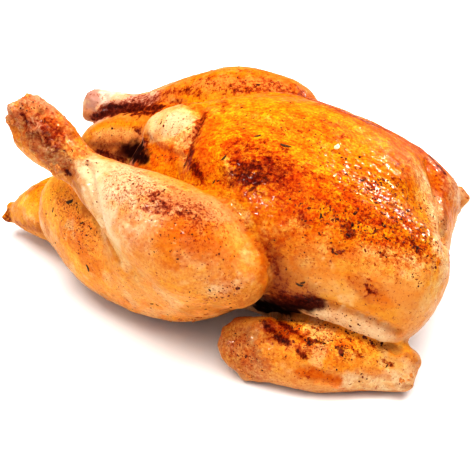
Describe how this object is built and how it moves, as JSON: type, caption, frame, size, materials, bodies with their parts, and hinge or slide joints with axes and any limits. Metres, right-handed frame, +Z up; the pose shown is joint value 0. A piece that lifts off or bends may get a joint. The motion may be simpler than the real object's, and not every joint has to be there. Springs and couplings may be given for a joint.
{
  "type": "roast chicken",
  "caption": "Whole roast chicken lying on its back, breast up, with browned skin, legs spread, wings folded at its sides and an open body cavity at the tail end.",
  "frame": {"origin": "middle of the bounding box's bottom face, on the surface the bird lies on", "axes": "+Z up through the breast, +X towards the neck end, so the legs and the tail point to -X, and -Y on the side with the wing spread furthest"},
  "size_m": [0.2488, 0.1694, 0.1081],
  "materials": {
    "roast_skin": "browned, oily skin, golden to amber, pale on the legs"
  },
  "bodies": {
    "root": {"roast_chicken": "roast_skin"}
  },
  "joints": []
}
